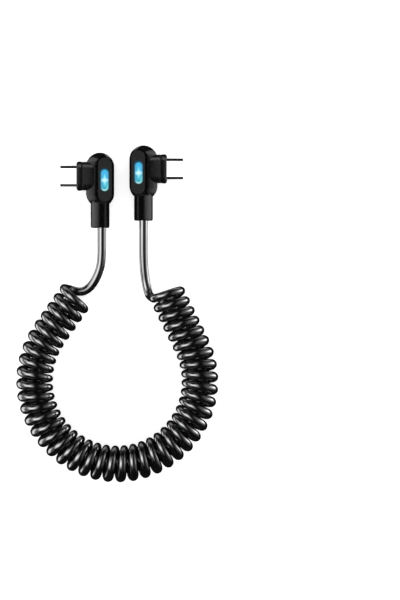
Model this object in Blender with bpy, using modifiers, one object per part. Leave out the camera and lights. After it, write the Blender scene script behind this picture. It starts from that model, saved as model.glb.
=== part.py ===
"""A coiled cable with an angled plug at each end, lying on a flat surface.

Sizes are in metres, with +Z up. The origin is on the surface, midway between
the two plugs. +X runs across the pair, and +Y from the coil towards them.
The left plug points along -X, the right one along +X, its mirror image.
"""

import math

import bmesh
import bpy
from mathutils import Vector

COLLECTION_NAME = "coiled_usb_c_cable"

# Clearances
FIT_GAP = 0.0003
INSERT_GAP = 0.0001

# Where the two plugs lie
PLUG_SPREAD = 0.01735
PLUG_STEP = 0.0029
SIDES = {"left": -1, "right": 1}

# Housing: a slot-shaped body whose wall leans in to a smaller flat face
HEAD_WIDTH = 0.0112
HEAD_LENGTH = 0.0218
HEAD_THICKNESS = 0.0080
HEAD_BAND = 0.0012
HEAD_EDGE_RADIUS = 0.0004
FACE_WIDTH = 0.0064
FACE_LENGTH = 0.0186
FACE_SHIFT = 0.0019

# Light window let into the upper face
LENS_WIDTH = 0.0037
LENS_LENGTH = 0.0092
LENS_THICKNESS = 0.0010
LENS_EDGE_RADIUS = 0.0002

# Base of the plug, which comes out of the side of the housing, above its middle
PLUG_RISE = 0.0017
BASE_HEIGHT = 0.0112
BASE_THICKNESS = 0.0060
BASE_CORNER = 0.0022
BASE_REACH = 0.0038
BASE_ROOT = 0.0037
LIP_LENGTH = 0.0020
LIP_EDGE_RADIUS = 0.0004
GROOVE_WIDTH = 0.0004
GROOVE_DEPTH = 0.0002

# Metal shell of the plug and the block of contacts in it
SHELL_WIDTH = 0.00834
SHELL_THICKNESS = 0.00256
SHELL_WALL = 0.0003
SHELL_REACH = 0.0065
SHELL_ROOT = 0.0020
BLOCK_SETBACK = 0.0009
SLOT_WIDTH = 0.0067
SLOT_THICKNESS = 0.0008
SLOT_DEPTH = 0.0048

# Strain relief below the housing
RELIEF_DIAMETER = 0.0075
RELIEF_LENGTH = 0.0094
RELIEF_EDGE_RADIUS = 0.0005

# Cord and its coil
CORD_DIAMETER = 0.0034
COIL_DIAMETER = 0.0148
LOOP_RADIUS = 0.0330
LOOP_CENTRE = Vector((-0.0017, -0.0778))
RIGHT_ARC_END = math.radians(26)
LEFT_ARC_END = math.radians(-215)
RIGHT_RUN = 0.0246
LEFT_RUN = 0.0203

# Routes of the two uncoiled ends, from the strain relief to the coil.
# The cord leaves the left strain relief a little off its middle.
LEFT_EXIT_SHIFT = 0.0007
LEFT_ROUTE = [
    (-0.00800, -0.0214, 0.00390),
    (-0.00805, -0.0270, 0.00370),
    (-0.00850, -0.0316, 0.00335),
    (-0.00975, -0.0354, 0.00285),
    (-0.01155, -0.0387, 0.00235),
    (-0.01345, -0.0408, 0.00200),
]
RIGHT_ROUTE = [
    (0.00865, -0.0200, 0.00370),
    (0.00866, -0.0270, 0.00310),
    (0.00895, -0.0334, 0.00245),
    (0.00975, -0.0392, 0.00200),
]
# Where each end reaches the coil: across its end face, above its middle, off it
LEFT_JOIN = (-0.0014, -0.0055, 0.0007)
RIGHT_JOIN = (-0.0061, -0.0044, 0.0005)

# Fineness
CORNER_STEPS = 8
BEVEL_STEPS = 2
TURN_STEPS = 32
COIL_STEP = 0.0045
CORD_STEP = 2 * CORD_DIAMETER
CURVE_STEPS = 24
CORD_SIDES = 2
COIL_SIDES = 6
WELD_DISTANCE = 0.00001
CUT_MARGIN = 0.001

# Sizes that follow from the ones above
FACE_TOP = HEAD_THICKNESS / 2
NECK_RADIUS = HEAD_WIDTH / 2
NECK_DROP = math.sqrt(NECK_RADIUS ** 2 - (RELIEF_DIAMETER / 2) ** 2)
HEAD_END = HEAD_LENGTH / 2 - NECK_RADIUS + NECK_DROP
RELIEF_END = HEAD_END + FIT_GAP + RELIEF_LENGTH
BASE_FRONT = HEAD_WIDTH / 2 + BASE_REACH
BASE_BACK = HEAD_WIDTH / 2 - BASE_ROOT
HEAD_CENTRE_Y = (RELIEF_END - HEAD_LENGTH / 2) / 2


def clear_scene():
    for thing in list(bpy.data.objects):
        bpy.data.objects.remove(thing, do_unlink=True)


def make_collection(name):
    collection = bpy.data.collections.new(name)
    bpy.context.scene.collection.children.link(collection)
    return collection


def make_material(name, colour, roughness, metallic=0.0, glow=None):
    material = bpy.data.materials.new(name)
    material.use_nodes = True
    shader = material.node_tree.nodes["Principled BSDF"]
    shader.inputs["Base Color"].default_value = (*colour, 1)
    shader.inputs["Roughness"].default_value = roughness
    shader.inputs["Metallic"].default_value = metallic
    if glow:
        shader.inputs["Emission Color"].default_value = (*glow, 1)
        shader.inputs["Emission Strength"].default_value = 2
    return material


def rounded_outline(width, length, radius):
    """Points round a rectangle with round corners, `width` along X, anticlockwise."""
    points = []
    corners = ((1, 1), (-1, 1), (-1, -1), (1, -1))
    for quarter, (side_x, side_y) in enumerate(corners):
        centre = Vector((side_x * (width / 2 - radius), side_y * (length / 2 - radius)))
        for step in range(CORNER_STEPS + 1):
            angle = (quarter + step / CORNER_STEPS) * math.pi / 2
            point = centre + radius * Vector((math.cos(angle), math.sin(angle)))
            if not points or (point - points[-1]).length > WELD_DISTANCE:
                points.append(point)
    if (points[0] - points[-1]).length <= WELD_DISTANCE:
        points.pop()
    return points


def stadium(width, length):
    """A slot shape: two half circles joined by straight sides."""
    return rounded_outline(width, length, min(width, length) / 2)


def add_object(name, data, collection, material=None, parent=None):
    thing = bpy.data.objects.new(name, data)
    collection.objects.link(thing)
    if material:
        data.materials.append(material)
    thing.parent = parent
    return thing


def finish_mesh(bm, name):
    bmesh.ops.recalc_face_normals(bm, faces=bm.faces)
    mesh = bpy.data.meshes.new(name)
    bm.to_mesh(mesh)
    bm.free()
    mesh.shade_smooth()
    mesh.set_sharp_from_angle(angle=math.radians(35))
    return mesh


def prism(name, outline, bottom, top):
    """The outline extruded along Z from one height to another."""
    bm = bmesh.new()
    base = bm.faces.new([bm.verts.new((x, y, bottom)) for x, y in outline])
    raised = bmesh.ops.extrude_face_region(bm, geom=[base])["geom"]
    corners = [item for item in raised if isinstance(item, bmesh.types.BMVert)]
    bmesh.ops.translate(bm, verts=corners, vec=(0, 0, top - bottom))
    return finish_mesh(bm, name)


def loft(sections):
    """Walls through rings of equally many points, each (outline, height), with end faces."""
    bm = bmesh.new()
    rings = [[bm.verts.new((x, y, z)) for x, y in outline] for outline, z in sections]
    bm.faces.new(rings[0])
    bm.faces.new(rings[-1])
    for lower, upper in zip(rings, rings[1:]):
        for first in range(len(lower)):
            second = (first + 1) % len(lower)
            bm.faces.new((lower[first], lower[second], upper[second], upper[first]))
    return bm


def cut(thing, name, mesh, collection, place, turn=(0, 0, 0)):
    """Takes the shape of a hidden cutter out of an object."""
    cutter = add_object(name, mesh, collection, parent=thing.parent)
    cutter.location = place
    cutter.rotation_euler = turn
    cutter.hide_render = True
    cutter.display_type = "WIRE"
    boolean = thing.modifiers.new(name, "BOOLEAN")
    boolean.operation = "DIFFERENCE"
    boolean.solver = "EXACT"
    boolean.object = cutter


def round_edges(thing, radius):
    bevel = thing.modifiers.new("round_edges", "BEVEL")
    bevel.width = radius
    bevel.segments = BEVEL_STEPS
    bevel.limit_method = "ANGLE"
    bevel.angle_limit = math.radians(50)


def plug_turn(side):
    """The rotation that lays local +Z along the way this side's plug points."""
    return (0, side * math.pi / 2, 0)


def base_outline(grow=0.0):
    return rounded_outline(
        BASE_THICKNESS + 2 * grow, BASE_HEIGHT + 2 * grow, BASE_CORNER + grow
    )


def shell_outline(grow=0.0):
    return stadium(SHELL_THICKNESS + 2 * grow, SHELL_WIDTH + 2 * grow)


def make_housing(label, side, frame, pieces, cutters, material):
    def inner_outline():
        shift = Vector((-side * FACE_SHIFT, 0))
        return [point + shift for point in stadium(FACE_WIDTH, FACE_LENGTH)]

    outer = stadium(HEAD_WIDTH, HEAD_LENGTH)
    bm = loft(
        [
            (inner_outline(), -FACE_TOP),
            (outer, -HEAD_BAND / 2),
            (outer, HEAD_BAND / 2),
            (inner_outline(), FACE_TOP),
        ]
    )
    level = [
        edge for edge in bm.edges if abs(edge.verts[0].co.z - edge.verts[1].co.z) < WELD_DISTANCE
    ]
    bmesh.ops.bevel(
        bm, geom=level, offset=HEAD_EDGE_RADIUS, segments=BEVEL_STEPS, profile=0.5, affect="EDGES"
    )
    bmesh.ops.bisect_plane(
        bm,
        geom=bm.verts[:] + bm.edges[:] + bm.faces[:],
        plane_co=(0, -HEAD_END, 0),
        plane_no=(0, -1, 0),
        clear_outer=True,
    )
    bmesh.ops.holes_fill(bm, edges=[edge for edge in bm.edges if edge.is_boundary])
    housing = add_object(f"{label}_housing", finish_mesh(bm, "housing"), pieces, material, frame)

    pocket = prism(
        "pocket",
        stadium(LENS_WIDTH + 2 * FIT_GAP, LENS_LENGTH + 2 * FIT_GAP),
        -LENS_THICKNESS - FIT_GAP,
        CUT_MARGIN,
    )
    cut(housing, f"{label}_lens_pocket", pocket, cutters, (-side * FACE_SHIFT, 0, FACE_TOP))
    seat = prism("seat", base_outline(FIT_GAP), BASE_BACK - FIT_GAP, BASE_FRONT)
    cut(housing, f"{label}_base_seat", seat, cutters, (0, PLUG_RISE, 0), plug_turn(side))


def make_lens(label, side, frame, pieces, material):
    mesh = prism("lens", stadium(LENS_WIDTH, LENS_LENGTH), -LENS_THICKNESS, 0)
    lens = add_object(f"{label}_light_window", mesh, pieces, material, frame)
    lens.location = (-side * FACE_SHIFT, 0, FACE_TOP)
    round_edges(lens, LENS_EDGE_RADIUS)


def make_base(label, side, frame, pieces, cutters, material):
    lip_back = BASE_FRONT - LIP_LENGTH
    sections = [(base_outline(), BASE_BACK), (base_outline(), lip_back - GROOVE_WIDTH)]
    sections += [(base_outline(-GROOVE_DEPTH), lip_back - GROOVE_WIDTH)]
    sections += [(base_outline(-GROOVE_DEPTH), lip_back), (base_outline(), lip_back)]
    for step in range(BEVEL_STEPS + 1):
        angle = step / BEVEL_STEPS * math.pi / 2
        drop = LIP_EDGE_RADIUS * (1 - math.cos(angle))
        forward = LIP_EDGE_RADIUS * (1 - math.sin(angle))
        sections.append((base_outline(-drop), BASE_FRONT - forward))
    base = add_object(f"{label}_plug_base", finish_mesh(loft(sections), "base"), pieces, material, frame)
    base.location = (0, PLUG_RISE, 0)
    base.rotation_euler = plug_turn(side)
    socket = prism(
        "socket", shell_outline(FIT_GAP), BASE_FRONT - SHELL_ROOT - FIT_GAP, BASE_FRONT + CUT_MARGIN
    )
    cut(base, f"{label}_shell_socket", socket, cutters, (0, PLUG_RISE, 0), plug_turn(side))


def make_shell(label, side, frame, pieces, material):
    """An open tube round the outline, thickened inwards."""
    bm = bmesh.new()
    start = [bm.verts.new((x, y, 0)) for x, y in shell_outline()]
    ring = [bm.edges.new((start[i - 1], start[i])) for i in range(len(start))]
    raised = bmesh.ops.extrude_edge_only(bm, edges=ring)["geom"]
    corners = [item for item in raised if isinstance(item, bmesh.types.BMVert)]
    bmesh.ops.translate(bm, verts=corners, vec=(0, 0, SHELL_ROOT + SHELL_REACH))
    shell = add_object(f"{label}_usb_c_shell", finish_mesh(bm, "shell"), pieces, material, frame)
    shell.location = (side * (BASE_FRONT - SHELL_ROOT), PLUG_RISE, 0)
    shell.rotation_euler = plug_turn(side)
    wall = shell.modifiers.new("wall", "SOLIDIFY")
    wall.thickness = SHELL_WALL
    wall.offset = -1
    wall.use_even_offset = True


def make_contact_block(label, side, frame, pieces, cutters, material):
    back = BASE_FRONT - SHELL_ROOT
    front = BASE_FRONT + SHELL_REACH - BLOCK_SETBACK
    mesh = prism("block", shell_outline(-SHELL_WALL - INSERT_GAP), back, front)
    block = add_object(f"{label}_contact_block", mesh, pieces, material, frame)
    block.location = (0, PLUG_RISE, 0)
    block.rotation_euler = plug_turn(side)
    slot = prism("slot", stadium(SLOT_THICKNESS, SLOT_WIDTH), front - SLOT_DEPTH, front + CUT_MARGIN)
    cut(block, f"{label}_tongue_slot", slot, cutters, (0, PLUG_RISE, 0), plug_turn(side))


def make_strain_relief(label, frame, pieces, material):
    """A turned sleeve: half its outline, screwed round the cord's way out."""
    radius = RELIEF_DIAMETER / 2
    profile = [(0, RELIEF_LENGTH)]
    for step in range(BEVEL_STEPS + 1):
        angle = step / BEVEL_STEPS * math.pi / 2
        across = radius - RELIEF_EDGE_RADIUS * (1 - math.sin(angle))
        profile.append((across, RELIEF_LENGTH - RELIEF_EDGE_RADIUS * (1 - math.cos(angle))))
    profile += [(radius, 0), (0, 0)]
    bm = bmesh.new()
    points = [bm.verts.new((x, 0, z)) for x, z in profile]
    for first, second in zip(points, points[1:]):
        bm.edges.new((first, second))
    mesh = bpy.data.meshes.new("strain_relief")
    bm.to_mesh(mesh)
    bm.free()
    relief = add_object(f"{label}_strain_relief", mesh, pieces, material, frame)
    relief.location = (0, -HEAD_END - FIT_GAP, 0)
    relief.rotation_euler = (math.pi / 2, 0, 0)
    screw = relief.modifiers.new("turn", "SCREW")
    screw.steps = TURN_STEPS
    screw.render_steps = TURN_STEPS
    screw.use_merge_vertices = True
    screw.merge_threshold = WELD_DISTANCE
    screw.use_smooth_shade = True


def make_plug(label, side, pieces, cutters, looks):
    frame = bpy.data.objects.new(f"{label}_plug", None)
    pieces.objects.link(frame)
    frame.location = (*plug_centre(side), FACE_TOP)
    make_housing(label, side, frame, pieces, cutters, looks["housing"])
    make_lens(label, side, frame, pieces, looks["window"])
    make_base(label, side, frame, pieces, cutters, looks["base"])
    make_shell(label, side, frame, pieces, looks["shell"])
    make_contact_block(label, side, frame, pieces, cutters, looks["block"])
    make_strain_relief(label, frame, pieces, looks["relief"])


def plug_centre(side):
    """The middle of the housing, so placed that the pair's box is centred on the origin."""
    return (side * PLUG_SPREAD / 2, HEAD_CENTRE_Y + side * PLUG_STEP / 2)


def cord_exit(side):
    x, y = plug_centre(side)
    shift = LEFT_EXIT_SHIFT if side < 0 else 0
    return Vector((x + shift, y - RELIEF_END - FIT_GAP, FACE_TOP))


def loop_point(angle, run=0.0):
    """A point of the loop's middle line, `run` past the arc along its tangent."""
    out = Vector((math.cos(angle), math.sin(angle)))
    onward = Vector((-out.y, out.x))
    return LOOP_CENTRE + LOOP_RADIUS * out + run * onward


def coil_axis():
    """The middle line of the coil, from its right end round the loop to its left end."""
    arc = RIGHT_ARC_END - LEFT_ARC_END
    arc_steps = math.ceil(LOOP_RADIUS * arc / COIL_STEP)
    right_steps = math.ceil(RIGHT_RUN / COIL_STEP)
    left_steps = math.ceil(LEFT_RUN / COIL_STEP)
    points = [
        loop_point(RIGHT_ARC_END, RIGHT_RUN * (1 - step / right_steps)) for step in range(right_steps)
    ]
    points += [loop_point(RIGHT_ARC_END - arc * step / arc_steps) for step in range(arc_steps)]
    points += [
        loop_point(LEFT_ARC_END, -LEFT_RUN * step / left_steps) for step in range(left_steps + 1)
    ]
    return [Vector((*point, COIL_DIAMETER / 2)) for point in points]


def coil_join(side):
    """Where the uncoiled cord ends, in front of the coil's end face."""
    angle = RIGHT_ARC_END if side > 0 else LEFT_ARC_END
    run = RIGHT_RUN if side > 0 else LEFT_RUN
    across, above, off = RIGHT_JOIN if side > 0 else LEFT_JOIN
    face = loop_point(angle, side * (run + off))
    out = Vector((math.cos(angle), math.sin(angle)))
    return Vector((*(face + across * out), COIL_DIAMETER / 2 + above))


def smooth_curve(route, spacing):
    """Evenly spaced points on the smooth curve through a route's points."""
    padded = [2 * route[0] - route[1], *route, 2 * route[-1] - route[-2]]
    fine = []
    for before, start, end, after in zip(padded, padded[1:], padded[2:], padded[3:]):
        for step in range(CURVE_STEPS):
            t = step / CURVE_STEPS
            bend = 2 * before - 5 * start + 4 * end - after
            twist = 3 * start - before - 3 * end + after
            fine.append((2 * start + (end - before) * t + bend * t ** 2 + twist * t ** 3) / 2)
    fine.append(route[-1])
    lengths = [(b - a).length for a, b in zip(fine, fine[1:])]
    count = math.ceil(sum(lengths) / spacing)
    step_length = sum(lengths) / count
    points = [fine[0]]
    walked = 0.0
    for point, length in zip(fine[1:], lengths):
        walked += length
        if walked >= len(points) * step_length - WELD_DISTANCE:
            points.append(point)
    return points


def make_tube(name, points, diameter, sides, pieces, material):
    curve = bpy.data.curves.new(name, "CURVE")
    curve.dimensions = "3D"
    curve.bevel_depth = diameter / 2
    curve.bevel_resolution = sides
    curve.use_fill_caps = True
    spline = curve.splines.new("POLY")
    spline.points.add(len(points) - 1)
    for place, point in zip(spline.points, points):
        place.co = (*point, 1)
    spline.use_smooth = True
    add_object(name, curve, pieces, material)


def make_cord(pieces, material):
    make_tube("cord_coil", coil_axis(), COIL_DIAMETER, COIL_SIDES, pieces, material)
    for label, chosen in (("left", LEFT_ROUTE), ("right", RIGHT_ROUTE)):
        side = SIDES[label]
        route = [cord_exit(side), *map(Vector, chosen), coil_join(side)]
        points = smooth_curve(route, CORD_STEP)
        make_tube(f"cord_{label}_end", points, CORD_DIAMETER, CORD_SIDES, pieces, material)


def main():
    clear_scene()
    pieces = make_collection(COLLECTION_NAME)
    cutters = make_collection("cutters")
    looks = {
        "housing": make_material("housing_gloss_black", (0.012, 0.012, 0.014), 0.22),
        "base": make_material("plug_base_satin_black", (0.018, 0.018, 0.019), 0.42),
        "relief": make_material("strain_relief_black", (0.012, 0.012, 0.013), 0.28),
        "window": make_material("light_window", (0.35, 0.85, 1.0), 0.15, glow=(0.1, 0.72, 1.0)),
        "shell": make_material("shell_bright_steel", (0.78, 0.78, 0.8), 0.15, metallic=1.0),
        "block": make_material("contact_block_black", (0.02, 0.02, 0.02), 0.5),
        "cord": make_material("cord_black", (0.01, 0.01, 0.011), 0.2),
    }
    for label, side in SIDES.items():
        make_plug(label, side, pieces, cutters, looks)
    make_cord(pieces, looks["cord"])


main()
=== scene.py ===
"""The looks of a coiled cable with an angled plug at each end.

Sizes are in metres, with +Z up. The origin is on the surface, midway between
the two plugs. The left plug points along -X, the right one along +X.
"""

import math

import bmesh
import bpy
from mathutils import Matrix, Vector


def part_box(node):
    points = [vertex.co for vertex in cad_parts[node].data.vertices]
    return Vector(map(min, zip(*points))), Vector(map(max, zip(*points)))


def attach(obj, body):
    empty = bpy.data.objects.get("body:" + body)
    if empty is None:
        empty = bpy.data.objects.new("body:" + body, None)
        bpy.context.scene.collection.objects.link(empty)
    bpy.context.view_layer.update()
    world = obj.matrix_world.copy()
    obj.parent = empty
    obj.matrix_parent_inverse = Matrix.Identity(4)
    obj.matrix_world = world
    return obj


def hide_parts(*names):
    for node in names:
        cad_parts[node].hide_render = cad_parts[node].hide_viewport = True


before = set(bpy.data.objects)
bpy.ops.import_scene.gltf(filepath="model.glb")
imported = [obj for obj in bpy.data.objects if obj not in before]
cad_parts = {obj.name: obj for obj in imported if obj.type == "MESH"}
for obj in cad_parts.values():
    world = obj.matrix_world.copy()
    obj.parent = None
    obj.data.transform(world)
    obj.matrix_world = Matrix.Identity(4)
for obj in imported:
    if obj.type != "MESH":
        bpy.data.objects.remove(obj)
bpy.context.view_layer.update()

BODY = "root"
SIDES = {"left": -1, "right": 1}

# The photograph's view: the point at its middle, and what its height spans at PLANE_HEIGHT
PHOTO_CENTRE = Vector((0.03132, -0.04538))
PHOTO_HEIGHT = 0.240
PLANE_HEIGHT = 0.005
CAMERA_DISTANCE = 1.0
SENSOR = 36.0

# Housing: a slot-shaped body. Its wall leans in from a band round its middle to the rim of
# each face, which lies off centre, away from the plug. Inside the rim a seam runs round a plate.
FIT_GAP = 0.0003
HEAD_WIDTH = 0.0112
HEAD_LENGTH = 0.0218
HEAD_THICKNESS = 0.0080
HEAD_BAND = 0.0012
RIM_WIDTH = 0.00675
RIM_LENGTH = 0.0186
RIM_SHIFT = 0.00186
WALL_SLOPE = 0.70
PLATE_WIDTH = 0.0056
PLATE_LENGTH = 0.0178
PLATE_SHIFT = 0.00208
RIM_DROP = 0.00004
SEAM_DEPTH = 0.00050
# (share of the way from the rim to the plate, depth below the face)
SEAM_PROFILE = [(0, RIM_DROP), (0.10, 0), (0.16, RIM_DROP), (0.5, SEAM_DEPTH)]
EDGE_ROUND = 0.00010
NECK_DIAMETER = 0.0073
NECK_REACH = 0.0062

# Light window, a lens in a pocket of the upper face
LENS_SHIFT = 0.0019
LENS_WIDTH = 0.0037
LENS_LENGTH = 0.0092
LENS_DEPTH = 0.0009
LENS_SINK = 0.00006
LENS_GAP = 0.00004
LENS_CROWN = 0.00008
LENS_CENTRE = 0.0001
LENS_RINGS = 6
STAR_PLACE = (0.00008, -0.0003)
# Heights between which the housing round the window carries a painted glow of the window's light
HALO_FOOT = 0.0030
HALO_TOP = 0.0036

# Base of the plug, whose middle lies further up Y than the housing's, in the solids and here
CAD_RISE = 0.0017
PLUG_RISE = 0.00152
BASE_HEIGHT = 0.0114
BASE_THICKNESS = 0.0070
BASE_CORNER = 0.0028
BASE_REACH = 0.0038
BASE_ROOT = 0.0037
ROOT_INSET = 0.00045
ROOT_GAP = 0.0002
JOINT_WIDTH = 0.00030
JOINT_ROUND = 0.00010
SEAT_GAP = 0.00003
LIP_LENGTH = 0.0021
LIP_RISE = 0.00008
LIP_FLARE = 0.00016
LIP_ROUND = 0.0010
LIP_SHRINK = 0.0010
LIP_FLATNESS = 0.45
LIP_STEPS = 8
GROOVE_WIDTH = 0.00045
GROOVE_DEPTH = 0.00028
GROOVE_SIDE = 0.35
MOUTH_GAP = 0.00006
MOUTH_BEVEL = 0.0001

# Shell, insulator and contacts
SHELL_WIDTH = 0.00834
SHELL_THICKNESS = 0.00256
SHELL_WALL = 0.0003
SHELL_REACH = 0.0065
SHELL_ROOT = 0.0020
SHELL_ROOT_GAP = 0.00005
SHELL_ROUND = 0.00008
BLOCK_GAP = 0.00002
BLOCK_ROOT_GAP = 0.0001
BLOCK_SETBACK = 0.0009
BLOCK_BEVEL = 0.0001
SLOT_WIDTH = 0.0067
SLOT_THICKNESS = 0.0008
SLOT_DEPTH = 0.0048
SLOT_FLARE = 0.00015
SLOT_FLARE_DEPTH = 0.0002
CONTACT_COUNT = 12
CONTACT_PITCH = 0.0005
CONTACT_WIDTH = 0.00026
CONTACT_LENGTH = 0.0038
CONTACT_THICKNESS = 0.00008
CONTACT_LIFT = 0.00016
CONTACT_SINK = 0.00002
CONTACT_ROOT_GAP = 0.0003
# (share of a contact's length, share of its lift away from the slot's wall)
CONTACT_PROFILE = [(0.0, 0.0), (0.45, 0.15), (0.72, 0.75), (0.84, 1.0), (0.93, 0.75), (1.0, 0.2)]

# Strain relief
RELIEF_DIAMETER = 0.0075
RELIEF_LENGTH = 0.0094
RELIEF_ROUND = 0.00045
RELIEF_BORE = 0.00375
RELIEF_BORE_DEPTH = 0.0030
RELIEF_OVERLAP = 0.0004
RELIEF_BEVEL = 0.0001
BORE_ROUND = 0.0002
CORD_ENTRY = 0.7

# Cord, coil and loop: two straight runs and an arc, whose ends are angles from +X
CORD_DIAMETER = 0.0034
COIL_DIAMETER = 0.0148
COIL_TURNS = 41.5
TURN_POINTS = 28
LOOP_RADIUS = 0.0330
LOOP_CENTRE = Vector((-0.0017, -0.0778))
RIGHT_ARC_END = math.radians(26)
LEFT_ARC_END = math.radians(-215)
RIGHT_RUN = 0.0235
LEFT_RUN = 0.0182
CORD_STEP = 0.0014
CORD_SWELL = 0.20
SWELL_RUN = 0.012
CORD_SIDES = 7

# Routes of the uncoiled ends, from each strain relief to the coil's first turn
LEFT_EXIT_SHIFT = 0.0007
LEFT_ROUTE = [
    (-0.00800, -0.0214, 0.00390),
    (-0.00805, -0.0270, 0.00370),
    (-0.00850, -0.0316, 0.00335),
    (-0.00975, -0.0354, 0.00285),
    (-0.01155, -0.0387, 0.00235),
    (-0.01345, -0.0408, 0.00200),
    (-0.01620, -0.04205, 0.00175),
    (-0.01870, -0.0418, 0.00175),
    (-0.02130, -0.0410, 0.00300),
]
RIGHT_ROUTE = [
    (0.00865, -0.0200, 0.00370),
    (0.00866, -0.0270, 0.00310),
    (0.00895, -0.0334, 0.00245),
    (0.00975, -0.0392, 0.00200),
    (0.01085, -0.0431, 0.00300),
]

# Studio: soft boxes at one distance from the cable's middle, and a floor that sweeps up all round
STUDIO_CENTRE = Vector((0.0, -0.055, 0.0))
STUDIO_REACH = 1.3
STUDIO_RADIUS = 3.0
STUDIO_CORNER = 1.2
STUDIO_HEIGHT = 4.0
FLOOR_MIDDLE = 0.02
FLOOR_COLOUR = (0.9, 0.9, 0.9)
FLOOR_GLOW = 0.58
WORLD_COLOUR = (0.92, 0.96, 1.0, 1)
WORLD_STRENGTH = 0.015
WATTS_PER_RADIANCE = 4.0
SOFT_EDGES = (0.2, 0.2, 0.2)

# Colours
JACKET_BLACK = (0.0012, 0.0012, 0.0013)
JACKET_PALE = (0.0026, 0.0026, 0.0028)
PLASTIC_BLACK = (0.0026, 0.0026, 0.0028)
RELIEF_BLACK = (0.0016, 0.0016, 0.0018)
INSULATOR_BLACK = (0.015, 0.015, 0.016)
NICKEL = (0.93, 0.93, 0.94)
NICKEL_RUBBED = (0.86, 0.86, 0.87)
GOLD = (0.90, 0.62, 0.22)
GOLD_DARK = (0.80, 0.50, 0.15)
GLOW_BLUE = (0.040, 0.46, 0.82)
GLOW_TEAL = (0.025, 0.38, 0.48)
GLOW_SIDES = (0.13, 0.36, 0.50)
GLOW_EDGE = (0.15, 0.60, 0.64)
GLOW_END = (0.50, 0.92, 0.92)
STAR_ARM = (0.30, 0.95, 1.0)
STAR_MIDDLE = (0.62, 0.98, 1.0)
LENS_RIM = (0.002, 0.030, 0.055)
LENS_BASE = (0.005, 0.02, 0.03, 1)
# Painted glow: the colour the housing itself emits near the window, standing in for the window's light
HALO = (0.001, 0.030, 0.045)
UNLIT = (0.0, 0.0, 0.0)

# Fineness
CORNER_STEPS = 20
ROUND_STEPS = 4
WALL_STEPS = 14
TURN_STEPS = 72
NECK_STEPS = 10
SWEEP_STEPS = 12
SHARP_ANGLE = math.radians(32)
WELD_DISTANCE = 0.0000005
END_FLAT = 0.000001

# Sizes that follow from the ones above
FACE_TOP = HEAD_THICKNESS / 2
NECK_RADIUS = HEAD_WIDTH / 2
NECK_DROP = math.sqrt(NECK_RADIUS ** 2 - (RELIEF_DIAMETER / 2) ** 2)
HEAD_END = HEAD_LENGTH / 2 - NECK_RADIUS + NECK_DROP
RELIEF_END = HEAD_END + FIT_GAP + RELIEF_LENGTH
BASE_FRONT = HEAD_WIDTH / 2 + BASE_REACH
BASE_BACK = HEAD_WIDTH / 2 - BASE_ROOT
BLOCK_FRONT = BASE_FRONT + SHELL_REACH - BLOCK_SETBACK


def plug_centre(label):
    """The middle of a housing, from the boxes of the solids round it."""
    base_low, base_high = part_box(f"{label}_plug_base")
    head_low, head_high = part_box(f"{label}_housing")
    middle_x = (head_low.x + head_high.x) / 2
    return Vector((middle_x, (base_low.y + base_high.y) / 2 - CAD_RISE, FACE_TOP))


def rounded_outline(width, length, radius):
    """Points round a rectangle with round corners, `width` along X, anticlockwise."""
    points = []
    corners = ((1, 1), (-1, 1), (-1, -1), (1, -1))
    for quarter, (side_x, side_y) in enumerate(corners):
        centre = Vector((side_x * (width / 2 - radius), side_y * (length / 2 - radius)))
        for step in range(CORNER_STEPS + 1):
            angle = (quarter + step / CORNER_STEPS) * math.pi / 2
            points.append(centre + radius * Vector((math.cos(angle), math.sin(angle))))
    return points


def stadium(width, length):
    """A slot shape. Its ends keep a very short flat, so that no two of its points meet."""
    return rounded_outline(width, length, min(width, length) / 2 - END_FLAT)


def circle(radius):
    angles = [2 * math.pi * step / TURN_STEPS for step in range(TURN_STEPS)]
    return [Vector((radius * math.cos(angle), radius * math.sin(angle))) for angle in angles]


def shifted(outline, x):
    return [point + Vector((x, 0)) for point in outline]


def turned_over(ring):
    """The mirror image of a ring's own heights, for the underside."""
    return [(*point[:2], -sum(point[2:])) for point in ring]


def loft(sections, ring=False):
    """Walls through rings of equally many points, each (outline, height).

    A point with three numbers adds its own height to the ring's. The first and
    last rings are closed by end faces, or joined to each other.
    """
    bm = bmesh.new()
    rings = [
        [bm.verts.new((*point[:2], z + sum(point[2:]))) for point in outline] for outline, z in sections
    ]
    pairs = list(zip(rings, rings[1:]))
    if ring:
        pairs.append((rings[-1], rings[0]))
    else:
        bm.faces.new(rings[0])
        bm.faces.new(rings[-1])
    for lower, upper in pairs:
        for first in range(len(lower)):
            second = (first + 1) % len(lower)
            bm.faces.new((lower[first], lower[second], upper[second], upper[first]))
    return bm


def finish_mesh(bm, name):
    bmesh.ops.remove_doubles(bm, verts=bm.verts, dist=WELD_DISTANCE)
    bmesh.ops.recalc_face_normals(bm, faces=bm.faces)
    mesh = bpy.data.meshes.new(name)
    bm.to_mesh(mesh)
    bm.free()
    mesh.shade_smooth()
    mesh.set_sharp_from_angle(angle=SHARP_ANGLE)
    return mesh


def add_piece(name, data, material, replaced=(), place=(0, 0, 0), turn=(0, 0, 0)):
    """Puts a piece in the scene, on the body that everything rides on."""
    piece = bpy.data.objects.new(name, data)
    bpy.context.scene.collection.objects.link(piece)
    data.materials.append(material)
    piece.location = place
    piece.rotation_euler = turn
    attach(piece, BODY)
    if replaced:
        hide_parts(*replaced)
    return piece


def quarter_round(radius, steps=ROUND_STEPS):
    """(inwards, upwards) steps round a quarter circle, from a wall to a top."""
    angles = [step / steps * math.pi / 2 for step in range(steps + 1)]
    return [(radius * (1 - math.cos(angle)), radius * math.sin(angle)) for angle in angles]


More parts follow.
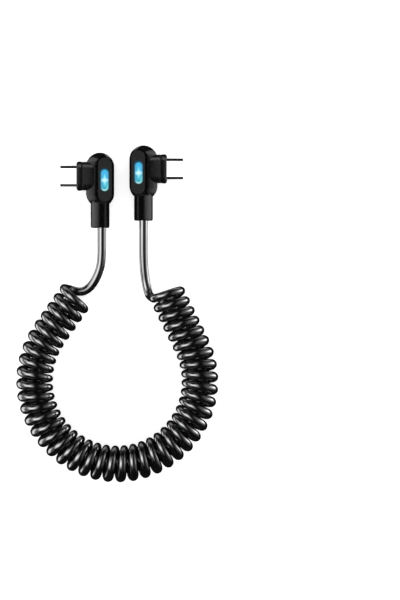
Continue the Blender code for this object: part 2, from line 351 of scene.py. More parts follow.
class Nodes:
    """The node tree of a material or a light, with short calls for the nodes used here."""

    def __init__(self, owner, shader):
        owner.use_nodes = True
        self.tree = owner.node_tree
        self.shader = self.tree.nodes[shader]

    def add(self, kind):
        return self.tree.nodes.new(kind)

    def link(self, start, end):
        self.tree.links.new(start, end)

    def feed(self, socket, value):
        """Links an output to a socket, or sets the socket to a plain value."""
        if isinstance(value, bpy.types.NodeSocket):
            self.link(value, socket)
        else:
            socket.default_value = value

    def set(self, **values):
        for name, value in values.items():
            self.shader.inputs[name.replace("_", " ")].default_value = value

    def spread(self, value, low, high, start=0.0, end=1.0, smooth=False):
        """Maps low..high of a value to start..end, held at both ends."""
        node = self.add("ShaderNodeMapRange")
        if smooth:
            node.interpolation_type = "SMOOTHSTEP"
        self.feed(node.inputs["Value"], value)
        for socket, number in zip(("From Min", "From Max", "To Min", "To Max"), (low, high, start, end)):
            node.inputs[socket].default_value = number
        return node.outputs["Result"]

    def maths(self, operation, *values):
        node = self.add("ShaderNodeMath")
        node.operation = operation
        for socket, value in zip(node.inputs, values):
            self.feed(socket, value)
        return node.outputs[0]

    def mix(self, share, first, second):
        node = self.add("ShaderNodeMix")
        node.data_type = "RGBA"
        self.feed(node.inputs["Factor"], share)
        for socket, colour in ((node.inputs[6], first), (node.inputs[7], second)):
            self.feed(socket, (*colour, 1) if isinstance(colour, tuple) else colour)
        return node.outputs[2]

    def split(self, vector):
        node = self.add("ShaderNodeSeparateXYZ")
        self.link(vector, node.inputs[0])
        return node.outputs


class Finish(Nodes):
    """A material, with the calls that give it its colour, gloss and texture."""

    def __init__(self, name):
        self.material = bpy.data.materials.new(name)
        super().__init__(self.material, "Principled BSDF")
        self.place = self.add("ShaderNodeTexCoord").outputs["Object"]

    def stretch(self, scale):
        mapping = self.add("ShaderNodeMapping")
        mapping.inputs["Scale"].default_value = scale
        self.link(self.place, mapping.inputs["Vector"])
        return mapping.outputs["Vector"]

    def noise(self, scale, detail=2.0, place=None):
        """Noise with `scale` waves to the metre."""
        texture = self.add("ShaderNodeTexNoise")
        texture.inputs["Scale"].default_value = scale
        texture.inputs["Detail"].default_value = detail
        self.link(place or self.place, texture.inputs["Vector"])
        return texture.outputs["Fac"]

    def bump(self, height, distance, strength=1.0):
        node = self.add("ShaderNodeBump")
        node.inputs["Strength"].default_value = strength
        node.inputs["Distance"].default_value = distance
        self.link(height, node.inputs["Height"])
        self.link(node.outputs["Normal"], self.shader.inputs["Normal"])

    def colour(self, value):
        self.link(value, self.shader.inputs["Base Color"])

    def roughness(self, value):
        self.link(value, self.shader.inputs["Roughness"])


def cord_material():
    """Glossy jacket with a faint mottle, handling marks and a slight unevenness."""
    n = Finish("cord_jacket")
    mottle = n.noise(900, 3)
    n.colour(n.mix(n.spread(mottle, 0.35, 0.65), JACKET_BLACK, JACKET_PALE))
    marks = n.spread(n.noise(260, 5), 0.52, 0.75)
    n.roughness(n.spread(marks, 0, 1, 0.11, 0.16))
    n.bump(n.noise(900, 2), 0.000006, 0.15)
    n.set(Specular_IOR_Level=0.9, Coat_Weight=0.5, Coat_Roughness=0.08)
    return n.material


def slot_reach(n, shift=0.0, shift_along=0.0):
    """The object's coordinates, and how far a place is from the window's middle line.

    That distance is in half widths, so it is 1 at the window's edge.
    """
    axes = n.split(n.place)
    across = n.maths("DIVIDE", n.maths("ADD", axes["X"], shift), LENS_WIDTH / 2)
    along = n.maths("DIVIDE", n.maths("ADD", axes["Y"], shift_along), LENS_WIDTH / 2)
    straight = LENS_LENGTH / LENS_WIDTH - 1
    past_end = n.maths("MAXIMUM", n.maths("SUBTRACT", n.maths("ABSOLUTE", along), straight), 0.0)
    squares = n.maths("ADD", n.maths("MULTIPLY", across, across), n.maths("MULTIPLY", past_end, past_end))
    return axes, n.maths("SQRT", squares)


def housing_material(label, side):
    """Gloss black, with a painted glow of the window's light on the rim round it, given as the housing's
    own emission.
    """
    n = gloss_material(f"housing_gloss_{label}", PLASTIC_BLACK, 0.12, 0.18, 0.5)
    axes, reach = slot_reach(n, side * LENS_SHIFT)
    # Painted light: the housing's face glows blue near the window's edge and fades outward, as if lit by
    # the window
    halo = n.maths("POWER", n.spread(reach, 1.35, 0.98), 2.0)
    halo = n.maths("MULTIPLY", halo, n.spread(axes["Z"], HALO_FOOT, HALO_TOP))
    n.link(n.mix(halo, UNLIT, HALO), n.shader.inputs["Emission Color"])
    n.set(Emission_Strength=1.0)
    return n.material


def gloss_material(name, colour, rough_low, rough_high, specular):
    """Smooth moulded plastic with a fine texture and faint rubbed patches."""
    n = Finish(name)
    pale = tuple(channel * 1.5 for channel in colour)
    n.colour(n.mix(n.spread(n.noise(700, 4), 0.4, 0.7), colour, pale))
    n.roughness(n.spread(n.noise(180, 5), 0.35, 0.70, rough_low, rough_high))
    n.bump(n.noise(5000, 2), 0.000006, 0.15)
    n.set(Specular_IOR_Level=specular)
    return n


def satin_material(name, colour, rough_low, rough_high, specular):
    """Fine-grained moulded plastic."""
    n = Finish(name)
    pale = tuple(channel * 1.6 for channel in colour)
    n.colour(n.mix(n.spread(n.noise(1200, 4), 0.4, 0.7), colour, pale))
    n.roughness(n.spread(n.noise(300, 4), 0.35, 0.70, rough_low, rough_high))
    n.bump(n.noise(9000, 3), 0.00002, 0.5)
    n.set(Specular_IOR_Level=specular)
    return n


def shell_material():
    """Bright nickel plate, finely brushed along the plug, with insertion marks."""
    n = Finish("shell_nickel")
    brushed = n.noise(1, 4, n.stretch((9000, 9000, 300)))
    rubbed = n.spread(n.noise(500, 4), 0.5, 0.7)
    n.colour(n.mix(rubbed, NICKEL, NICKEL_RUBBED))
    n.roughness(n.spread(brushed, 0.3, 0.7, 0.08, 0.14))
    n.bump(brushed, 0.000004, 0.3)
    n.set(Metallic=1.0)
    return n.material


def gold_material():
    """Gold plate with an uneven tone."""
    n = Finish("contact_gold")
    n.colour(n.mix(n.noise(2500, 3), GOLD, GOLD_DARK))
    n.roughness(n.spread(n.noise(4000, 2), 0.3, 0.7, 0.18, 0.32))
    n.set(Metallic=1.0)
    return n.material


def window_material():
    """A clear window lit from behind: a soft four-pointed star in a field of blue and teal."""
    n = Finish("window_glow")
    axes, reach = slot_reach(n, -STAR_PLACE[0], -STAR_PLACE[1])
    across = n.maths("DIVIDE", n.maths("SUBTRACT", axes["X"], STAR_PLACE[0]), LENS_WIDTH / 2)
    along = n.maths("DIVIDE", n.maths("SUBTRACT", axes["Y"], STAR_PLACE[1]), LENS_LENGTH / 2)
    # Blue above, teal below, paler towards the sides of the upper half
    field = n.mix(n.spread(along, -0.80, 0.10), GLOW_TEAL, GLOW_BLUE)
    sides = n.spread(n.maths("ABSOLUTE", across), 0.25, 0.75)
    field = n.mix(n.maths("MULTIPLY", sides, 0.7), field, GLOW_SIDES)
    # The lower half is brighter along its right edge and round its end
    right_edge = n.maths("MULTIPLY", n.spread(across, 0.15, 0.55), n.spread(along, -0.05, -0.40))
    field = n.mix(right_edge, field, GLOW_EDGE)
    crescent = n.maths("MULTIPLY", n.spread(reach, 0.30, 0.62), n.spread(along, -0.66, -0.88))
    field = n.mix(crescent, field, GLOW_END)
    # Long upright arm, short wide arm and a white middle
    upright = n.maths(
        "MULTIPLY",
        n.spread(n.maths("ABSOLUTE", across), 0.42, 0.0, smooth=True),
        n.spread(n.maths("ABSOLUTE", along), 0.72, 0.05, smooth=True),
    )
    glow = n.mix(upright, field, STAR_ARM)
    slim = n.maths("MULTIPLY_ADD", n.maths("ABSOLUTE", across), 0.10, n.maths("ABSOLUTE", along))
    level = n.maths(
        "MULTIPLY",
        n.spread(slim, 0.30, 0.0, smooth=True),
        n.spread(n.maths("ABSOLUTE", across), 1.15, 0.35, smooth=True),
    )
    glow = n.mix(level, glow, STAR_MIDDLE)
    glow = n.mix(n.spread(reach, 0.60, 0.98, smooth=True), glow, LENS_RIM)
    n.link(glow, n.shader.inputs["Emission Color"])
    n.set(Emission_Strength=1.0, Specular_IOR_Level=0.3, Coat_Weight=0.1, Coat_Roughness=0.05)
    n.shader.inputs["Base Color"].default_value = LENS_BASE
    n.roughness(n.spread(n.noise(1800, 3), 0.3, 0.7, 0.10, 0.18))
    return n.material


def smooth_line(route):
    """Points on a smooth curve through a route whose points are unevenly spaced."""
    padded = [2 * route[0] - route[1], *route, 2 * route[-1] - route[-2]]
    line = []
    for before, start, end, after in zip(padded, padded[1:], padded[2:], padded[3:]):
        gaps = [math.sqrt((b - a).length) for a, b in ((before, start), (start, end), (end, after))]
        slope = (end - start) / gaps[1]
        leave = slope - (end - before) / (gaps[0] + gaps[1]) + (start - before) / gaps[0]
        reach = slope - (after - start) / (gaps[1] + gaps[2]) + (after - end) / gaps[2]
        steps = math.ceil((end - start).length / CORD_STEP)
        for step in range(steps):
            t = step / steps
            line.append(
                (2 * t ** 3 - 3 * t ** 2 + 1) * start
                + (t ** 3 - 2 * t ** 2 + t) * gaps[1] * leave
                + (3 * t ** 2 - 2 * t ** 3) * end
                + (t ** 3 - t ** 2) * gaps[1] * reach
            )
    line.append(route[-1])
    return line


def loop_axis(way):
    """The coil's middle line, its outward direction and how far it is from the round part.

    `way` is the length along the coil from its right end.
    """
    arc = LOOP_RADIUS * (RIGHT_ARC_END - LEFT_ARC_END)
    turned = min(max(way - RIGHT_RUN, 0), arc)
    angle = RIGHT_ARC_END - turned / LOOP_RADIUS
    out = Vector((math.cos(angle), math.sin(angle)))
    onward = Vector((out.y, -out.x))
    run = way - RIGHT_RUN - turned
    return LOOP_CENTRE + LOOP_RADIUS * out + run * onward, out, abs(run)


def coil_line():
    """The cord's middle line round the coil, wound left-handed, from right to left.

    The fourth number is the cord's radius. Where the coil is bent round, the cord is
    thicker on the outside of the bend and thinner on the inside, and each turn lies
    that much further in.
    """
    length = RIGHT_RUN + LOOP_RADIUS * (RIGHT_ARC_END - LEFT_ARC_END) + LEFT_RUN
    radius = (COIL_DIAMETER - CORD_DIAMETER) / 2
    count = round(COIL_TURNS * TURN_POINTS)
    points = []
    for step in range(count + 1):
        centre, out, run = loop_axis(length * step / count)
        swell = CORD_SWELL * CORD_DIAMETER / 2 * max(0, 1 - run / SWELL_RUN)
        turn = math.pi - 2 * math.pi * COIL_TURNS * step / count
        place = centre + (radius * math.cos(turn) - swell) * out
        height = COIL_DIAMETER / 2 + radius * math.sin(turn)
        points.append(Vector((*place, height, CORD_DIAMETER / 2 + swell * math.cos(turn))))
    return points


def cord_exit(label):
    """Where the cord leaves this side's strain relief."""
    shift = LEFT_EXIT_SHIFT if label == "left" else 0
    return plug_centre(label) + Vector((shift, -RELIEF_END - FIT_GAP, 0))


def tail_line(label, route):
    """The uncoiled cord's middle line, from inside the strain relief towards the coil."""
    start = cord_exit(label)
    inside = start + Vector((0, RELIEF_BORE_DEPTH * CORD_ENTRY, 0))
    return [Vector((*point, CORD_DIAMETER / 2)) for point in (inside, start, *route)]


def make_cord():
    """The whole cord as one curve, from strain relief to strain relief."""
    left = tail_line("left", LEFT_ROUTE)
    right = tail_line("right", RIGHT_ROUTE)
    points = smooth_line(left + coil_line()[::-1] + right[::-1])
    curve = bpy.data.curves.new("cord", "CURVE")
    curve.dimensions = "3D"
    curve.bevel_depth = CORD_DIAMETER / 2
    curve.bevel_resolution = CORD_SIDES
    curve.use_fill_caps = True
    spline = curve.splines.new("POLY")
    spline.points.add(len(points) - 1)
    for spline_point, point in zip(spline.points, points):
        spline_point.co = (*point.xyz, 1)
        spline_point.radius = point.w / (CORD_DIAMETER / 2)
    spline.use_smooth = True
    nodes = ("cord_left_end", "cord_coil", "cord_right_end")
    cord = add_piece("cord_jacket", curve, cord_material(), nodes)


def make_camera():
    """Looks straight down, as the photograph does."""
    data = bpy.data.cameras.new("camera")
    data.sensor_width = SENSOR
    data.lens = SENSOR * CAMERA_DISTANCE / PHOTO_HEIGHT
    camera = bpy.data.objects.new("camera", data)
    camera.location = (*PHOTO_CENTRE, PLANE_HEIGHT + CAMERA_DISTANCE)
    bpy.context.scene.collection.objects.link(camera)
    bpy.context.scene.camera = camera


def housing_sections(side):
    """Rings up the housing: plain face below, seam, walls, band, seam and pocket above."""

    def plate(inset, z):
        outline = stadium(PLATE_WIDTH - 2 * inset, PLATE_LENGTH - 2 * inset)
        return shifted(outline, -side * PLATE_SHIFT), z

    rim = shifted(stadium(RIM_WIDTH, RIM_LENGTH), -side * RIM_SHIFT)
    outer = stadium(HEAD_WIDTH, HEAD_LENGTH)

    def wall(share):
        """A ring part of the way from the band (0) to the rim (1), each point on its own curve."""
        ring = []
        for low, high in zip(outer, rim):
            bend = FACE_TOP - min(WALL_SLOPE * (high - low).length, FACE_TOP - HEAD_BAND)
            foot = HEAD_BAND / 2 * (1 - share) ** 2
            height = foot + bend * 2 * share * (1 - share) + FACE_TOP * share ** 2
            ring.append((*low.lerp(high, share ** 2), height))
        return ring

    def lens_ring(grow, z):
        return shifted(stadium(LENS_WIDTH + 2 * grow, LENS_LENGTH + 2 * grow), -side * LENS_SHIFT), z

    half = [(wall(step / WALL_STEPS), 0) for step in range(WALL_STEPS)]
    inner = plate(0, 0)[0]
    half += [
        ([a.lerp(b, share) for a, b in zip(rim, inner)], FACE_TOP - depth)
        for share, depth in SEAM_PROFILE
    ]
    half += [
        plate(inward, FACE_TOP - EDGE_ROUND + upward) for inward, upward in quarter_round(EDGE_ROUND)
    ]
    below = [(turned_over(ring), -z) for ring, z in reversed(half)]
    above = list(half)
    above += [
        lens_ring(LENS_GAP + upward, FACE_TOP - inward)
        for inward, upward in reversed(quarter_round(EDGE_ROUND))
    ]
    above += [lens_ring(LENS_GAP, FACE_TOP - LENS_DEPTH)]
    return below + above


def applied(piece):
    """Fixes a piece's modifiers in its mesh and shades the result afresh."""
    depsgraph = bpy.context.evaluated_depsgraph_get()
    mesh = bpy.data.meshes.new_from_object(piece.evaluated_get(depsgraph), depsgraph=depsgraph)
    piece.modifiers.clear()
    old = piece.data
    piece.data = mesh
    bpy.data.meshes.remove(old)
    mesh.shade_smooth()
    mesh.set_sharp_from_angle(angle=SHARP_ANGLE)


def plug_turn(side):
    """The rotation that lays local +Z along the way this side's plug points."""
    return (0, side * math.pi / 2, 0)


def base_outline(grow=0.0):
    """The base seen from its front: its thickness along X, its height along Y."""
    return rounded_outline(BASE_THICKNESS + 2 * grow, BASE_HEIGHT + 2 * grow, BASE_CORNER + grow)


def joint_ring(grow, off):
    """The base's outline where it comes `off` metres short of the housing's leaning wall."""
    half_width = HEAD_WIDTH / 2
    inner = RIM_WIDTH / 2 - RIM_SHIFT
    bend = FACE_TOP - WALL_SLOPE * (half_width - inner)
    ring = []
    for point in base_outline(grow):
        height = min(abs(point.x), FACE_TOP)
        # The wall's curve is solved for the share at which it has this height
        a = HEAD_BAND / 2 - 2 * bend + FACE_TOP
        b = 2 * (bend - HEAD_BAND / 2)
        c = HEAD_BAND / 2 - height
        share = 0.0 if c > 0 else (-b + math.sqrt(b * b - 4 * a * c)) / (2 * a)
        ring.append((*point, half_width - (half_width - inner) * share ** 2 + off))
    return ring, 0


def neck_sections():
    """A round neck above the strain relief, that sinks into the head like a dome."""
    sections = [(circle(NECK_DIAMETER / 2), HEAD_END + FIT_GAP / 2)]
    for step in range(NECK_STEPS):
        angle = step / NECK_STEPS * math.pi / 2
        outline = circle(NECK_DIAMETER / 2 * math.cos(angle))
        sections.append((outline, HEAD_END - NECK_REACH * math.sin(angle)))
    return sections


def helper(mesh, place, turn):
    """An object that only lends its shape to another, and is removed afterwards."""
    thing = bpy.data.objects.new("helper", mesh)
    bpy.context.scene.collection.objects.link(thing)
    thing.location = place
    thing.rotation_euler = turn
    return thing


def make_housing(label, side, centre, material):
    """The body, cut off at its lower end, with the neck joined on and a seat for the plug's base."""
    bm = loft(housing_sections(side))
    bmesh.ops.bisect_plane(
        bm,
        geom=bm.verts[:] + bm.edges[:] + bm.faces[:],
        plane_co=(0, -HEAD_END, 0),
        plane_no=(0, -1, 0),
        clear_outer=True,
    )
    bmesh.ops.holes_fill(bm, edges=[edge for edge in bm.edges if edge.is_boundary])
    housing = add_piece(
        f"{label}_housing_moulding",
        finish_mesh(bm, "housing"),
        material,
        [f"{label}_housing"],
        centre,
    )
    outline = base_outline(SEAT_GAP - ROOT_INSET)
    neck_mesh = finish_mesh(loft(neck_sections()), "neck")
    seat_mesh = finish_mesh(loft([(outline, BASE_BACK), (outline, BASE_FRONT)]), "seat")
    helpers = {
        "UNION": helper(neck_mesh, centre, (math.pi / 2, 0, 0)),
        "DIFFERENCE": helper(seat_mesh, centre + Vector((0, PLUG_RISE, 0)), plug_turn(side)),
    }
    for operation, thing in helpers.items():
        boolean = housing.modifiers.new(operation.lower(), "BOOLEAN")
        boolean.operation = operation
        boolean.solver = "EXACT"
        boolean.object = thing
    bpy.context.view_layer.update()
    applied(housing)
    for thing in helpers.values():
        bpy.data.objects.remove(thing)


def make_window(label, side, centre, material):
    """A slot-shaped lens with rounded edges and a slightly crowned top."""

    def ring(inset, z):
        return stadium(LENS_WIDTH - 2 * inset, LENS_LENGTH - 2 * inset), z

    sections = [ring(0, -LENS_DEPTH + LENS_GAP), ring(0, -EDGE_ROUND)]
    sections += [ring(inward, upward - EDGE_ROUND) for inward, upward in quarter_round(EDGE_ROUND)[1:]]
    for step in range(1, LENS_RINGS + 1):
        share = step / LENS_RINGS
        inset = EDGE_ROUND + share * (LENS_WIDTH / 2 - EDGE_ROUND - LENS_CENTRE)
        sections.append(ring(inset, LENS_CROWN * (1 - (1 - share) ** 2)))
    add_piece(
        f"{label}_window_lens",
        finish_mesh(loft(sections), "window"),
        material,
        [f"{label}_light_window"],
        centre + Vector((-side * LENS_SHIFT, 0, FACE_TOP - LENS_SINK)),
    )


def shell_outline(grow=0.0):
    return stadium(SHELL_THICKNESS + 2 * grow, SHELL_WIDTH + 2 * grow)


def lip_outline(inward):
    """The lip's outline where its front is rounded in: most at its ends, less above and below."""
    return rounded_outline(
        BASE_THICKNESS + 2 * LIP_FLARE - 2 * inward * LIP_FLATNESS,
        BASE_HEIGHT + 2 * LIP_FLARE - 2 * inward,
        BASE_CORNER + LIP_FLARE - inward * LIP_FLATNESS,
    )


def groove_outline(rise, inward):
    """The base's outline in its groove, which is deeper above and below than at its ends."""
    side_rise = rise - inward * GROOVE_SIDE
    return rounded_outline(
        BASE_THICKNESS + 2 * (rise - inward), BASE_HEIGHT + 2 * side_rise, BASE_CORNER + side_rise
    )


def make_base(label, side, centre, material):
    """The block that carries the plug: body, groove, and a lip with a rounded front."""
    lip_back = BASE_FRONT - LIP_LENGTH
    groove_back = lip_back - GROOVE_WIDTH
    sections = [(base_outline(-ROOT_INSET), BASE_BACK + ROOT_GAP), joint_ring(-ROOT_INSET, JOINT_WIDTH)]
    sections += [
        joint_ring(upward - JOINT_ROUND, JOINT_WIDTH + inward)
        for inward, upward in quarter_round(JOINT_ROUND)
    ]
    sections += [
        (groove_outline(0, inward), groove_back - GROOVE_DEPTH + upward)
        for inward, upward in quarter_round(GROOVE_DEPTH)
    ]
    sections += [
        (groove_outline(LIP_RISE, inward), lip_back + GROOVE_DEPTH - upward)
        for inward, upward in reversed(quarter_round(GROOVE_DEPTH + LIP_RISE)[:-1])
    ]
    sections.append((base_outline(LIP_FLARE), BASE_FRONT - LIP_ROUND))
    for inward, upward in quarter_round(1.0, LIP_STEPS)[1:]:
        sections.append((lip_outline(LIP_SHRINK * inward), BASE_FRONT - LIP_ROUND * (1 - upward)))
    sections.append((shell_outline(MOUTH_GAP + MOUTH_BEVEL), BASE_FRONT))
    sections.append((shell_outline(MOUTH_GAP), BASE_FRONT - MOUTH_BEVEL))
    sections.append((shell_outline(MOUTH_GAP), BASE_FRONT - SHELL_ROOT))
    add_piece(
        f"{label}_base_moulding",
        finish_mesh(loft(sections), "base"),
        material,
        [f"{label}_plug_base"],
        centre + Vector((0, PLUG_RISE, 0)),
        plug_turn(side),
    )


def make_shell(label, side, centre, material):
    """An open tube with rounded rims."""
    tip = BASE_FRONT + SHELL_REACH
    back = BASE_FRONT - SHELL_ROOT + SHELL_ROOT_GAP
    sections = [(shell_outline(), back), (shell_outline(), tip - SHELL_ROUND)]
    rim = quarter_round(SHELL_ROUND)
    sections += [(shell_outline(-inward), tip - SHELL_ROUND + upward) for inward, upward in rim[1:]]
    sections += [
        (shell_outline(-SHELL_WALL + inward), tip - SHELL_ROUND + upward)
        for inward, upward in reversed(rim)
    ]
    sections.append((shell_outline(-SHELL_WALL), back))
    add_piece(
        f"{label}_shell_tube",
        finish_mesh(loft(sections, ring=True), "shell"),
        material,
        [f"{label}_usb_c_shell"],
        centre + Vector((0, PLUG_RISE, 0)),
        plug_turn(side),
    )


def slot_outline(grow=0.0):
    return stadium(SLOT_THICKNESS + 2 * grow, SLOT_WIDTH + 2 * grow)


def make_block(label, side, centre, material):
    """The insulator that fills the shell, with a flared slot in its front."""
    back = BASE_FRONT - SHELL_ROOT + BLOCK_ROOT_GAP
    grow = -SHELL_WALL - BLOCK_GAP
    sections = [
        (shell_outline(grow), back),
        (shell_outline(grow), BLOCK_FRONT - BLOCK_BEVEL),
        (shell_outline(grow - BLOCK_BEVEL), BLOCK_FRONT),
        (slot_outline(SLOT_FLARE), BLOCK_FRONT),
        (slot_outline(), BLOCK_FRONT - SLOT_FLARE_DEPTH),
        (slot_outline(), BLOCK_FRONT - SLOT_DEPTH),
    ]
    add_piece(
        f"{label}_insulator",
        finish_mesh(loft(sections), "insulator"),
        material,
        [f"{label}_contact_block"],
        centre + Vector((0, PLUG_RISE, 0)),
        plug_turn(side),
    )


def make_contacts(label, side, centre, material):
    """Two rows of sprung contacts in the slot, joined as one piece."""
    back = BLOCK_FRONT - SLOT_DEPTH + CONTACT_ROOT_GAP
    bm = bmesh.new()
    for row in (-1, 1):
        for index in range(CONTACT_COUNT):
            middle = (index - (CONTACT_COUNT - 1) / 2) * CONTACT_PITCH
            rings = []
            for share, rise in CONTACT_PROFILE:
                wall = row * (SLOT_THICKNESS / 2 + CONTACT_SINK)
                near = wall - row * rise * CONTACT_LIFT
                far = near - row * CONTACT_THICKNESS
                z = back + share * CONTACT_LENGTH
                low, high = middle - CONTACT_WIDTH / 2, middle + CONTACT_WIDTH / 2
                corners = ((near, low), (near, high), (far, high), (far, low))
                rings.append([bm.verts.new((x, y, z)) for x, y in corners])
            bm.faces.new(rings[0])
            bm.faces.new(rings[-1])
            for lower, upper in zip(rings, rings[1:]):
                for first in range(4):
                    second = (first + 1) % 4
                    bm.faces.new((lower[first], lower[second], upper[second], upper[first]))
    add_piece(
        f"{label}_contacts",
        finish_mesh(bm, "contacts"),
        material,
        place=centre + Vector((0, PLUG_RISE, 0)),
        turn=plug_turn(side),
    )


def make_relief(label, centre, material):
    """A turned sleeve with a rounded rim and a bore that the cord comes out of."""
    radius = RELIEF_DIAMETER / 2
    bore = RELIEF_BORE / 2
    root = HEAD_END - RELIEF_OVERLAP
    shoulder = RELIEF_END - RELIEF_ROUND
    sections = [
        (circle(radius - RELIEF_BEVEL), root),
        (circle(radius), root + RELIEF_BEVEL),
        (circle(radius), shoulder),
    ]
    rim = quarter_round(RELIEF_ROUND)
    sections += [(circle(radius - inward), shoulder + upward) for inward, upward in rim[1:]]
    sections += [
        (circle(bore + upward), RELIEF_END - inward)
        for inward, upward in reversed(quarter_round(BORE_ROUND))
    ]
    sections.append((circle(bore), RELIEF_END - RELIEF_BORE_DEPTH))
    add_piece(
        f"{label}_relief_sleeve",
        finish_mesh(loft(sections), "relief"),
        material,
        [f"{label}_strain_relief"],
        centre,
        (math.pi / 2, 0, 0),
    )


def make_plugs():
    looks = {
        "window": window_material(),
        "base": satin_material("base_satin", PLASTIC_BLACK, 0.26, 0.34, 0.35).material,
        "relief": gloss_material("relief_gloss", RELIEF_BLACK, 0.24, 0.30, 0.5).material,
        "shell": shell_material(),
        "block": satin_material("insulator_black", INSULATOR_BLACK, 0.45, 0.6, 0.5).material,
        "gold": gold_material(),
    }
    for label, side in SIDES.items():
        centre = plug_centre(label)
        make_housing(label, side, centre, housing_material(label, side))
        make_window(label, side, centre, looks["window"])
        make_base(label, side, centre, looks["base"])
        make_shell(label, side, centre, looks["shell"])
        make_block(label, side, centre, looks["block"])
        make_contacts(label, side, centre, looks["gold"])
        make_relief(label, centre, looks["relief"])


def receivers(name, pieces):
    """A group of the pieces that a light falls on."""
    group = bpy.data.collections.new(name)
    for piece in pieces:
        group.objects.link(bpy.data.objects[piece])
    return group


def soft_box(name, group, near, far, *, towards, length, radiance, fades=SOFT_EDGES, shift=0.0, power=1.0):
    """A soft box seen `near` to `far` degrees off the vertical, `towards` degrees round from +X.

    It falls on one group of pieces only. `fades` are the shares of it over which it
    dims towards its near, far and side edges, and `power` steepens the near one.
    `shift` moves it sideways.
    """
    tilt, heading = math.radians((near + far) / 2), math.radians(towards)
    width = 2 * STUDIO_REACH * math.tan(math.radians(far - near) / 2)
    data = bpy.data.lights.new(name, "AREA")
    data.shape = "RECTANGLE"
    data.size = width
    data.size_y = length
    data.energy = WATTS_PER_RADIANCE * radiance * width * length
    n = Nodes(data, "Emission")
    own = n.split(n.add("ShaderNodeNewGeometry").outputs["Parametric"])
    fade_near, fade_far, fade_side = fades
    glow = n.maths("POWER", n.spread(own["X"], 0, fade_near, smooth=True), power)
    glow = n.maths("MULTIPLY", glow, n.spread(own["X"], 1, 1 - fade_far, smooth=True))
    glow = n.maths("MULTIPLY", glow, n.spread(own["Y"], 0, fade_side, smooth=True))
    glow = n.maths("MULTIPLY", glow, n.spread(own["Y"], 1, 1 - fade_side, smooth=True))
    n.link(glow, n.shader.inputs["Strength"])
    light = bpy.data.objects.new(name, data)
    away = Vector((math.sin(tilt) * math.cos(heading), math.sin(tilt) * math.sin(heading), math.cos(tilt)))
    sideways = Vector((-math.sin(heading), math.cos(heading), 0))
    light.location = STUDIO_CENTRE + STUDIO_REACH * away + shift * sideways
    light.rotation_euler = (0, tilt, heading)
    light.visible_camera = False
    light.light_linking.receiver_collection = group
    bpy.context.scene.collection.objects.link(light)


def stage_material(name, colour, glow):
    n = Finish(name)
    n.colour(n.mix(n.noise(6, 2), colour, tuple(channel * 0.985 for channel in colour)))
    n.set(Roughness=0.9, Specular_IOR_Level=0.1, Emission_Color=(1, 1, 1, 1), Emission_Strength=glow)
    return n.material


def make_stage():
    """A pale floor that sweeps up into a wall all round."""
    sections = [(circle(FLOOR_MIDDLE), 0.0), (circle(STUDIO_RADIUS - STUDIO_CORNER), 0.0)]
    for step in range(1, SWEEP_STEPS + 1):
        angle = step / SWEEP_STEPS * math.pi / 2
        across = STUDIO_RADIUS - STUDIO_CORNER * (1 - math.sin(angle))
        sections.append((circle(across), STUDIO_CORNER * (1 - math.cos(angle))))
    sections.append((circle(STUDIO_RADIUS), STUDIO_HEIGHT))
    bm = loft(sections)
    bm.faces.ensure_lookup_table()
    bmesh.ops.delete(bm, geom=[bm.faces[1]], context="FACES_ONLY")
    floor = bpy.data.objects.new("studio_floor", finish_mesh(bm, "studio_floor"))
    floor.data.materials.append(stage_material("studio_white", FLOOR_COLOUR, FLOOR_GLOW))
    floor.visible_glossy = False
    floor.visible_shadow = False
    bpy.context.scene.collection.objects.link(floor)


def outward(side):
    """The direction in which this side's plug points, in degrees round from +X."""
    return 90 - 90 * side


def light_cord():
    """Streaks along the turns: a broad key from the left, a line from the right and low rims."""
    cord = receivers("cord_pieces", ["cord_jacket"])
    soft_box(
        "cord_key", cord, 0, 72, towards=178, length=1.5, radiance=7.2, fades=(0.55, 0.3, 0.5), power=1.5
    )
    soft_box("cord_key_left", cord, 52, 88, towards=158, length=1.0, radiance=2.8, fades=(0.4, 0.3, 0.5))
    soft_box(
        "cord_overhead",
        cord,
        -6,
        40,
        towards=180,
        length=3.2,
        radiance=1.3,
        fades=(0.5, 0.3, 0.3),
        shift=-0.3,
    )
    soft_box("cord_left_wing", cord, 60, 125, towards=180, length=2.6, radiance=0.6)
    soft_box("cord_left_low", cord, 94, 131, towards=183, length=1.6, radiance=2.6)
    soft_box(
        "cord_right", cord, 52, 122, towards=8, length=1.0, radiance=6.8, fades=(0.7, 0.1, 0.5), power=1.3
    )
    soft_box("cord_right_wide", cord, 24, 124, towards=8, length=3.0, radiance=0.6, fades=(0.4, 0.08, 0.35))
    soft_box("cord_rear_low", cord, 84, 132, towards=90, length=2.4, radiance=0.9)


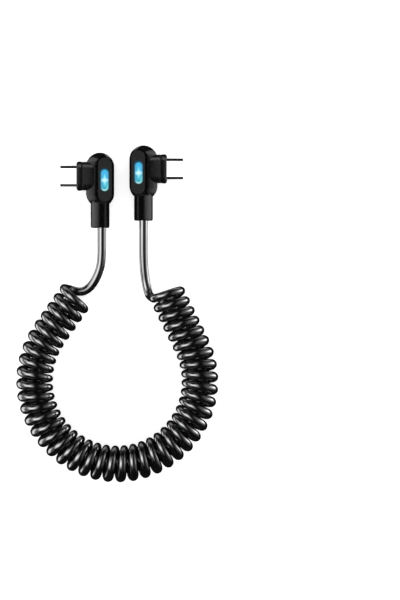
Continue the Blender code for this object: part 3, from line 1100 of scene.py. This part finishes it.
def light_plug(label, side):
    """One plug's own boxes: for the housing's wall and face, the plug base and the sleeve."""

    def box(name, group, near, far, towards, **look):
        soft_box(f"{label}_{name}", group, near, far, towards=towards, **look)

    out = outward(side)
    housing, window, base, relief = (
        f"{label}_{name}" for name in ("housing_moulding", "window_lens", "base_moulding", "relief_sleeve")
    )
    head = receivers(f"{label}_head", [housing])
    sleeve = receivers(f"{label}_sleeve", [relief])
    block = receivers(f"{label}_block", [base])
    box("wall_side", head, 64, 116, out, length=1.8, radiance=1.25, fades=(0.4, 0.45, 0.35))
    box("block_side", block, 42, 122, out, length=3.0, radiance=3.4, fades=(0.2, 0.3, 0.35))
    box("sleeve_side", sleeve, 4, 122, out, length=3.0, radiance=1.5, fades=(0.6, 0.2, 0.35))
    box("shoulder", head, 66, 108, out + 34 * side, length=0.55, radiance=1.1)
    box("far_shoulder", head, 66, 156, 90 + 24 * side, length=0.7, radiance=1.4)
    box("front", head, 40, 112, 270, length=2.0, radiance=0.45)
    face = receivers(f"{label}_face", [housing, window])
    box("face_top", face, -24, 24, out, length=1.3, radiance=0.4)
    box("block_top", block, -9, 26, out, length=1.3, radiance=0.5, fades=(0.3, 0.2, 0.2))
    box("block_rear", block, 24, 76, 90, length=1.6, radiance=2.2)
    box("far_line", sleeve, 64, 78, out + 180, length=2.4, radiance=1.0)


def light_metal():
    """One box overhead and one beyond each plug's tip, for the shells and what is in them."""
    names = ("shell_tube", "insulator", "contacts")
    metal = receivers("metal_pieces", [f"{label}_{name}" for label in SIDES for name in names])
    soft_box("metal_top", metal, -40, 40, towards=0, length=1.1, radiance=1.35, fades=(0.1, 0.1, 0.06))
    for label, side in SIDES.items():
        soft_box(f"metal_{label}", metal, 48, 88, towards=outward(side), length=1.6, radiance=0.8)


def make_lights():
    """Soft boxes for the cord, each plug, its metal and the floor, and a faint even glow."""
    light_cord()
    for label, side in SIDES.items():
        light_plug(label, side)
    light_metal()
    floor = receivers("floor_pieces", ["studio_floor"])
    soft_box("floor_top", floor, -30, 30, towards=0, length=1.5, radiance=0.6)
    world = bpy.data.worlds.new("studio_world")
    world.use_nodes = True
    background = world.node_tree.nodes["Background"]
    background.inputs["Color"].default_value = WORLD_COLOUR
    background.inputs["Strength"].default_value = WORLD_STRENGTH
    bpy.context.scene.world = world


def main():
    make_camera()
    make_cord()
    make_plugs()
    make_stage()
    make_lights()
    bpy.context.scene.view_settings.view_transform = "Standard"


main()
